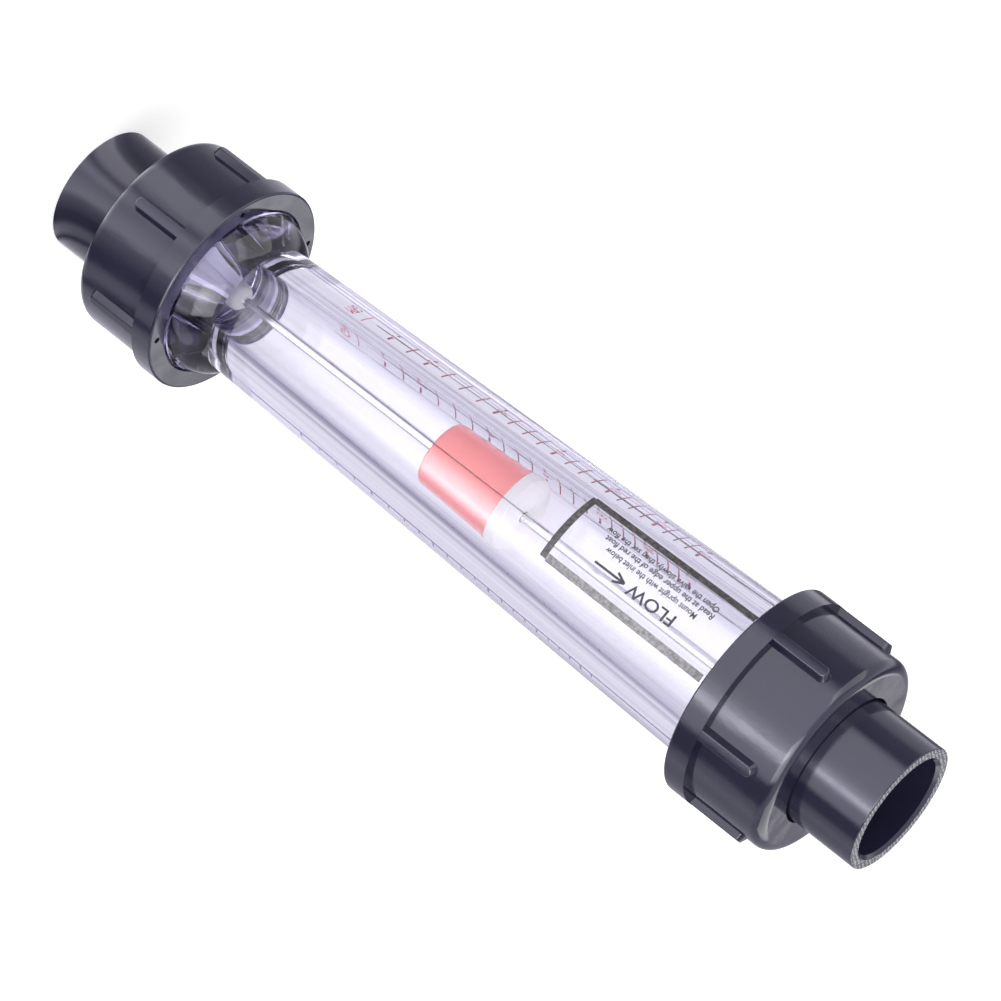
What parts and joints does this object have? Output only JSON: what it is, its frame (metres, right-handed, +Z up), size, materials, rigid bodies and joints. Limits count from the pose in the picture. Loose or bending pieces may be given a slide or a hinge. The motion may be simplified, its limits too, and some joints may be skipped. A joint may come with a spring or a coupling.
{
  "type": "rotameter",
  "caption": "Clear tapered-tube flow meter with a rod-guided float and a ribbed union nut and cement pipe socket at each end.",
  "frame": {"origin": "centre of the lower pipe socket's end face, on the meter's axis, where it stands on its end", "axes": "+Z up along the axis in the direction of flow, -Y is the side with the printed panel"},
  "size_m": [0.068, 0.068, 0.31],
  "materials": {
    "clear_tube": "gloss, moulded",
    "nut_grey": "gloss, moulded",
    "socket_grey": "gloss, moulded",
    "seal_black": "smooth",
    "guide_white": "satin, moulded",
    "rod_steel": "ground",
    "float_white": "satin, turned",
    "float_red": "gloss, moulded"
  },
  "bodies": {
    "tube": {"metering_tube": "clear_tube", "guide_rod": "rod_steel", "lower_rod_guide": "guide_white", "upper_rod_guide": "guide_white", "lower_rod_nut": "rod_steel", "upper_rod_nut": "rod_steel", "lower_rod_washer": "rod_steel", "upper_rod_washer": "rod_steel", "lower_stop_bush": "guide_white", "upper_stop_bush": "guide_white"},
    "float": {"float_body": "float_white", "float_sleeve": "float_red", "float_lower_bush": "float_white", "float_upper_bush": "float_white"},
    "lower_socket": {"lower_connector": "socket_grey", "lower_o_ring": "seal_black"},
    "lower_nut": {"lower_union_nut": "nut_grey"},
    "upper_socket": {"upper_connector": "socket_grey", "upper_o_ring": "seal_black"},
    "upper_nut": {"upper_union_nut": "nut_grey"}
  },
  "joints": [
    {"name": "float_slide", "type": "slide", "parent": "tube", "child": "float", "axis": [0, 0, 1], "range_m": [-0.077, 0.0755]},
    {"name": "lower_union_slide", "type": "slide", "parent": "tube", "child": "lower_socket", "axis": [0, 0, -1], "range_m": [0, 0.0216]},
    {"name": "lower_union_turn", "type": "hinge", "parent": "lower_socket", "child": "lower_nut", "pos_m": [0, 0, 0.0388], "axis": [0, 0, -1], "range_deg": [0, 1944]},
    {"name": "upper_union_slide", "type": "slide", "parent": "tube", "child": "upper_socket", "axis": [0, 0, 1], "range_m": [0, 0.0216]},
    {"name": "upper_union_turn", "type": "hinge", "parent": "upper_socket", "child": "upper_nut", "pos_m": [0, 0, 0.2712], "axis": [0, 0, 1], "range_deg": [0, 1944]}
  ],
  "couplings": [
    {"joint": "lower_union_slide", "follows": "lower_union_turn", "m_per_rad": 0.00063662},
    {"joint": "upper_union_slide", "follows": "upper_union_turn", "m_per_rad": 0.00063662}
  ]
}
